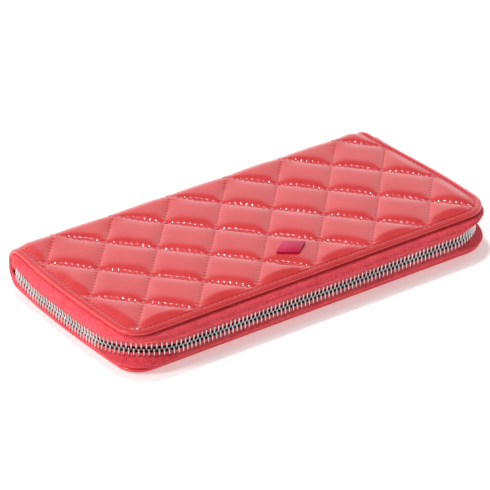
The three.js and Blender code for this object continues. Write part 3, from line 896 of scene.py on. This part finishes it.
def cover_lining(half, over):
    """The lining of a cover: thin leather with a rounded rim and rounded front corners."""
    low, high = node_box("bottom_cover_lining")
    radius = LINING_CORNER
    u = np.linspace(-1, 1, 180)
    turn = np.linspace(0, math.pi / 2, 10)
    straight = np.linspace(low[1] + radius, high[1], 70)[1:]
    v = np.concatenate([low[1] + radius - radius * np.cos(turn), straight])
    ahead = np.clip(low[1] + radius - v, 0, radius)
    reach = high[0] - (radius - np.sqrt(radius ** 2 - ahead ** 2))
    x = reach[:, None] * u[None, :]
    y = np.repeat(v[:, None], len(u), 1)
    grain = 0.03 * np.sin(x * 0.21 + y * 0.13) * np.sin(y * 0.17 - x * 0.05)
    lining = flat_sheet(f"{half}_lining_leather", u, v, np.stack([x, y], -1),
                        high[2] - 0.03 + grain, low[2], LINING, over)
    place(lining, f"{half}_cover", "lining_leather", f"{half}_cover_lining")


def card_pocket(half, tier, over):
    """One tier of card slots: a hemmed mouth with a dip for the thumb, and a seam down the middle."""
    name = POCKET_NAMES[half]
    low, high = node_box(f"lower_card_pocket_{tier}")
    u = np.linspace(low[0], high[0], 237)
    share = np.concatenate([np.linspace(0, 6, 16), np.linspace(6, high[1] - low[1], 44)[1:]])
    slot_half = (high[0] - 2) / 2
    within = np.abs(np.abs(u) - slot_half - 1) / slot_half
    scoop = THUMB_DIP * (1 - smoothstep(0.12, 0.42, within))
    x = np.repeat(u[None, :], len(share), 0)
    fade = 1 - smoothstep(0, 8, share)
    y = low[1] + share[:, None] + scoop[None, :] * fade[:, None]
    hem = 0.10 * (1 - smoothstep(3.2, 3.9, share))[:, None]
    middle_groove = -0.10 * np.exp(-(np.abs(x) / 0.7) ** 2)
    card_relief = 0.05 * smoothstep(4, 7, np.abs(x)) * (1 - smoothstep(high[0] - 6, high[0] - 3, np.abs(x)))
    seam_dip = -0.05 * np.exp(-((share - MOUTH_SEAM) / 0.4) ** 2)[:, None]
    top = high[2] - 0.12 + hem + middle_groove + card_relief + seam_dip
    pocket = flat_sheet(f"{name}_card_tier_{tier}", u, share, np.stack([x, y], -1), top, low[2], LINING, over)
    place(pocket, f"{half}_cover", "lining_leather", f"{name}_card_pocket_{tier}")
    up = (0, 0, -1) if over else (0, 0, 1)
    mouth = np.stack([u, low[1] + MOUTH_SEAM + scoop * 0.8, np.full_like(u, high[2] - 0.07)], -1)
    thread_line(f"{name}_card_tier_{tier}_mouth_stitches", turned(mouth, over), up, 2.7, f"{half}_cover")
    step = 10.0 if tier < 3 else high[1] - low[1] - 1
    for label, at in (("middle", 0.0), ("left", low[0] + 1.6), ("right", high[0] - 1.6)):
        y_run = np.linspace(low[1] + 0.4, low[1] + step - 0.4, 20)
        seam = np.stack([np.full(20, at), y_run, np.full(20, high[2] - 0.14)], -1)
        thread_line(f"{name}_card_tier_{tier}_{label}_stitches", turned(seam, over), up,
                    STITCH_PITCH, f"{half}_cover")


def gusset(side, half, over):
    """A cloth side wall, folded once inwards, of the kind that lets the compartment open; here it keeps its
    closed shape.
    """
    name = f"{side}_{half}_gusset"
    low, high = node_box("left_lower_gusset")
    sign = -1 if side == "left" else 1
    pocket_x, leaf_x, fold_x = -low[0], -low[0] - 2, -high[0] + 2.4
    fold_z = (low[2] + high[2]) / 2
    # Middle of the folded cloth, from the card pockets in to the fold and back out to the coin pocket
    profile = np.array([(pocket_x, low[2] + 0.25), (pocket_x - 5, low[2] + 0.5), (fold_x + 3, fold_z - 0.5),
                        (fold_x + 0.6, fold_z - 0.28), (fold_x, fold_z), (fold_x + 0.6, fold_z + 0.28),
                        (fold_x + 3, fold_z + 0.5), (leaf_x - 4, high[2] - 0.5), (leaf_x, high[2] - 0.25)])
    length = run_along(profile)
    u = np.linspace(0, length[-1], 56)
    across = along_route(u, length, profile)
    v = np.linspace(low[1] + 0.4, high[1] - 0.4, 60)
    middle = np.sin(math.pi * u / length[-1])[None, :]
    slack = middle * (0.25 * np.sin(v[:, None] * 0.21 + u[None, :] * 0.18) + 0.1 * np.sin(v[:, None] * 0.5))
    x = sign * (across[None, :, 0] + slack)
    z = np.repeat(across[None, :, 1], len(v), 0)
    y = np.repeat(v[:, None], len(u), 1)
    centre = np.stack([x, y, z], -1)
    normal = np.cross(np.gradient(centre, axis=1), np.gradient(centre, axis=0))
    normal /= np.linalg.norm(normal, axis=2)[:, :, None]
    hem = 0.14 + 0.05 * (1 - smoothstep(low[1] + 3.4, low[1] + 4, v))[:, None, None]
    flat = flat_grid(u, v)
    outside, inside = turned(centre + normal * hem, over), turned(centre - normal * hem, over)
    cloth = sheet_body(f"{name}_cloth", u, v, outside, inside, CLOTH, flat)
    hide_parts(name)
    near, far = ((0, 0, height * MM) for height in ((low[2] + 0.2), (high[2] - 0.2)))
    if over:
        near, far = ((0, 0, CLOSED * MM - p[2]) for p in (near, far))
        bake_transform(cloth)
    else:
        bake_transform(cloth)


def make_inside():
    spine_inside()
    coin_pocket()
    for half, over in (("bottom", False), ("top", True)):
        cover_lining(half, over)
        for tier in (1, 2, 3):
            card_pocket(half, tier, over)
        for side in ("left", "right"):
            gusset(side, POCKET_NAMES[half], over)


def spine_inside():
    """The lining of the spine, and the strip that holds the coin pocket to it."""
    low, high = node_box("spine_lining")
    outer, inner = high[1] - SPINE_Y, high[1] - SPINE_Y - 0.4
    reach = math.asin(min(1.0, (high[2] - low[2]) / 2 / outer))
    turn = np.linspace(-reach, reach, 60)
    x = np.linspace(low[0], high[0], 181)
    wrinkle = 0.04 * np.sin(x[None, :] * 0.4 + turn[:, None] * 3) * np.cos(turn)[:, None]

    def bent(radius):
        y = SPINE_Y + radius * np.cos(turn)[:, None]
        z = MIDDLE_Z + radius * np.sin(turn)[:, None]
        return np.stack(np.broadcast_arrays(x[None, :], y, z), -1)

    flat = flat_grid(x, outer * turn)
    lining = sheet_body("spine_lining_leather", x, turn, bent(inner + wrinkle), bent(outer - 0.02),
                        LINING, flat)
    place(lining, "spine_leaf", "lining_leather", "spine_lining")

    low, high, x, y, flat = node_grid("leaf_spine_strip", 173, 14)
    across = (flat[..., 1] - low[1]) / (high[1] - low[1])
    wave = 0.08 * np.sin(flat[..., 0] * 0.35) * np.sin(math.pi * across)
    strip = flat_sheet("leaf_strip_cloth", x, y, flat, high[2] - 0.1 + wave, low[2] + 0.1 + wave, CLOTH)
    place(strip, "spine_leaf", "lining_cloth", "leaf_spine_strip")


def coin_pocket():
    """The zipped pocket in the middle: a leather tray, its upper wall, tapes, teeth and seams."""
    tray = softened("coin_pocket_lower_wall", "spine_leaf", "lining_leather", LINING, 0.3)
    tray.name = "coin_pocket_tray"
    low, high, x, y, flat = node_grid("coin_pocket_upper_wall", 237, 90)
    inset = np.minimum(np.minimum(flat[..., 0] - low[0], high[0] - flat[..., 0]),
                       np.minimum(flat[..., 1] - low[1], high[1] - flat[..., 1]))
    seam_dip = -0.10 * np.exp(-((inset - POCKET_SEAM) / 0.45) ** 2)
    waviness = np.sin(flat[..., 0] * 0.13) * np.sin(flat[..., 1] * 0.19)
    puff = 0.10 * smoothstep(2.2, 12, inset) + 0.03 * waviness
    wall = flat_sheet("coin_pocket_wall", x, y, flat, high[2] - 0.14 + seam_dip + puff, low[2], LINING)
    place(wall, "spine_leaf", "lining_leather", "coin_pocket_upper_wall")
    tray_low = node_box("coin_pocket_lower_wall")[0]
    left, right, rear = low[0] + POCKET_SEAM, high[0] - POCKET_SEAM, high[1] - POCKET_SEAM
    corners = [(left, low[1] + 0.6), (left, rear), (right, rear), (right, low[1] + 0.6)]
    faces_of = (("upper", high[2] - 0.22, (0, 0, 1)), ("lower", tray_low[2] + 0.02, (0, 0, -1)))
    for label, height, up in faces_of:
        route = [(cx, cy, height) for cx, cy in corners]
        thread_line(f"coin_pocket_{label}_stitches", route, up, STITCH_PITCH, "spine_leaf")
        mouth = [(low[0] + 2, low[1] + 1.6, height), (high[0] - 2, low[1] + 1.6, height)]
        thread_line(f"coin_pocket_{label}_mouth_stitches", mouth, up, STITCH_PITCH, "spine_leaf")

    for half, over in (("lower", False), ("upper", True)):
        low, high, x, y, flat = node_grid("coin_lower_tape", 250, 8)
        bead = 0.12 * np.exp(-((flat[..., 1] - low[1] - 0.3) / 0.3) ** 2)
        tape = flat_sheet(f"coin_{half}_woven_tape", x, y, flat,
                          high[2] - 0.06 + bead, low[2] + 0.06 - bead, TAPE, over)
        place(tape, "spine_leaf", "zip_tape", f"coin_{half}_tape")
        low, high = node_box("coin_lower_tooth_row")
        middle_y = (low[1] + high[1]) / 2
        path = np.stack([np.linspace(high[0] - 0.4, low[0] + 0.4, 164), np.full(164, middle_y)], -1)
        teeth = tooth_row(f"coin_{half}_teeth", path, over, over,
                          pitch=COIN_TOOTH_PITCH, scale=COIN_TOOTH_SCALE)
        place(teeth, "spine_leaf", "nickel", f"coin_{half}_tooth_row")


# ---- small rigid pieces

def box_flat(mesh):
    """Gives a mesh its "flat" coordinates: each face's own plane, seen square on."""
    layer = mesh.uv_layers.new(name="flat")
    for face in mesh.polygons:
        normal = face.normal
        drop = max(range(3), key=lambda axis: abs(normal[axis]))
        keep = [axis for axis in range(3) if axis != drop]
        for corner in face.loop_indices:
            spot = mesh.vertices[mesh.loops[corner].vertex_index].co
            layer.data[corner].uv = [spot[axis] / MM / 100 for axis in keep]


def softened(node, body, slot, material, width):
    """A CAD piece with its edges rounded, as cast metal, pressed metal or cut leather has them."""
    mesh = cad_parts[node].data.copy()
    bm = bmesh.new()
    bm.from_mesh(mesh)
    bmesh.ops.remove_doubles(bm, verts=bm.verts, dist=1e-6)
    bmesh.ops.dissolve_limit(bm, angle_limit=math.radians(1), verts=bm.verts, edges=bm.edges)
    sharp = [e for e in bm.edges if len(e.link_faces) == 2 and e.calc_face_angle() > math.radians(25)]
    bmesh.ops.bevel(bm, geom=sharp, offset=width * MM, segments=3, profile=0.5,
                    affect="EDGES", clamp_overlap=True)
    bm.to_mesh(mesh)
    bm.free()
    mesh.materials.clear()
    mesh.materials.append(material)
    mesh.polygons.foreach_set("use_smooth", [True] * len(mesh.polygons))
    mesh.set_sharp_from_angle(angle=math.radians(40))
    box_flat(mesh)
    return place(linked(f"{node}_finished", mesh), body, slot, node)


def pull_tab():
    """The leather pull of the main zip, stitched round its edge on both faces."""
    softened("zip_pull_tab", "zip_pull", "patent_leather", PATENT, 0.35)
    low, high = node_box("zip_pull_tab")
    middle_x, middle_z = (low[0] + high[0]) / 2, (low[2] + high[2]) / 2
    half_width = (high[2] - low[2]) / 2 - 0.9
    neck_y = high[1] - 6.5
    turn = np.linspace(0, math.pi, 15)
    round_y = low[1] + (high[2] - low[2]) / 2 - half_width * np.sin(turn)
    y = np.concatenate([[neck_y], round_y, [neck_y]])
    z = middle_z + np.concatenate([[half_width], half_width * np.cos(turn), [-half_width]])
    for label, sign in (("outer", 1), ("inner", -1)):
        route = np.stack([np.full(len(y), middle_x + sign * 0.8), y, z], -1)
        thread_line(f"zip_pull_tab_{label}_stitches", route, (sign, 0, 0), 2.2, "zip_pull", 0.15, SEAM_THREAD)


def make_small_pieces():
    softened("cover_badge", "top_cover", "badge_enamel", ENAMEL, 0.3)
    for node, body in (("zip_slider_body", "zip_slider"), ("zip_slider_bail", "zip_slider"),
                       ("zip_pull_link", "zip_pull"), ("coin_slider_body", "coin_slider"),
                       ("coin_slider_bail", "coin_slider"), ("coin_pull", "coin_pull")):
        softened(node, body, "nickel", NICKEL, 0.14)
    for node, body in (("zip_start_stop", "bottom_cover"), ("lower_zip_end_stop", "bottom_cover"),
                       ("upper_zip_end_stop", "top_cover"), ("coin_left_stop", "spine_leaf"),
                       ("coin_right_stop", "spine_leaf")):
        softened(node, body, "nickel", NICKEL, 0.3)
    pull_tab()
    for node in ("bottom_cover_board", "top_cover_board"):
        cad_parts[node].data.materials.clear()
        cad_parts[node].data.materials.append(BOARD)


# ---- floor, light and camera

def make_stage():
    mesh = bpy.data.meshes.new("floor")
    mesh.from_pydata([(-4, -4, 0), (4, -4, 0), (4, 4, 0), (-4, 4, 0)], [], [(0, 1, 2, 3)])
    floor = linked("floor", mesh)
    shader = Shader("pale_floor", (0.92, 0.92, 0.92), 0.9)
    shader.set("Specular IOR Level", 0.0)
    shader.set("Emission Color", (1, 1, 1, 1)).set("Emission Strength", 0.36)
    mesh.materials.append(shader.material)


def add_light(name, place_at, size, power):
    """A round soft light that looks at the wallet."""
    data = bpy.data.lights.new(name, "AREA")
    data.shape = "DISK"
    data.size = size
    data.energy = power
    light = linked(name, data)
    light.location = place_at
    light.rotation_euler = (-light.location).to_track_quat("-Z", "Y").to_euler()


def make_lights():
    """A pale studio: bright low down all round the back and left, darker in front and overhead."""
    world = bpy.data.worlds.new("studio")
    bpy.context.scene.world = world
    world.use_nodes = True
    nodes, links = world.node_tree.nodes, world.node_tree.links

    direction = nodes.new("ShaderNodeTexCoord").outputs["Generated"]
    split = nodes.new("ShaderNodeSeparateXYZ")
    links.new(direction, split.inputs["Vector"])
    band = color_ramp(world.node_tree, split.outputs["Z"], [
        (0.0, 1.0), (0.3, 0.95), (0.56, 0.8), (0.66, 0.22), (0.74, 0.1), (1.0, 0.1)])
    towards_back = nodes.new("ShaderNodeMath")
    towards_back.operation = "MULTIPLY_ADD"
    links.new(split.outputs["Y"], towards_back.inputs[0])
    towards_back.inputs[1].default_value = 0.5
    towards_back.inputs[2].default_value = 0.5
    side = color_ramp(world.node_tree, towards_back.outputs["Value"], [
        (0.0, 0.3), (0.2, 0.4), (0.45, 1.0), (1.0, 1.0)])
    both = nodes.new("ShaderNodeMixRGB")
    both.blend_type = "MULTIPLY"
    both.inputs["Fac"].default_value = 1.0
    links.new(band, both.inputs["Color1"])
    links.new(side, both.inputs["Color2"])
    links.new(both.outputs["Color"], nodes["Background"].inputs["Color"])
    nodes["Background"].inputs["Strength"].default_value = 1.15
    add_light("key_left", (-1.2, 0.15, 0.9), 0.5, 11)
    add_light("overhead", (0.02, 0.81, 2.89), 0.36, 38)


def make_camera():
    """The viewing angle of the photograph: from the front left, a long lens a metre and a half away."""
    forward = Vector((0.50646, 0.70702, -0.49358)).normalized()
    right = Vector((0.81331, -0.58184, 0.00108)).normalized()
    up = right.cross(forward).normalized()
    right = forward.cross(up).normalized()
    data = bpy.data.cameras.new("camera")
    data.lens = 239.8
    data.sensor_width = 36
    data.clip_start = 0.05
    camera = linked("camera", data)
    turn = Matrix((right, up, -forward)).transposed().to_4x4()
    camera.matrix_world = Matrix.Translation((-0.72667, -1.00734, 0.71601)) @ turn
    bpy.context.scene.camera = camera
    bpy.context.scene.view_settings.view_transform = "Standard"


make_camera()
make_covers()
make_zip()
make_inside()
make_small_pieces()
make_stage()
make_lights()
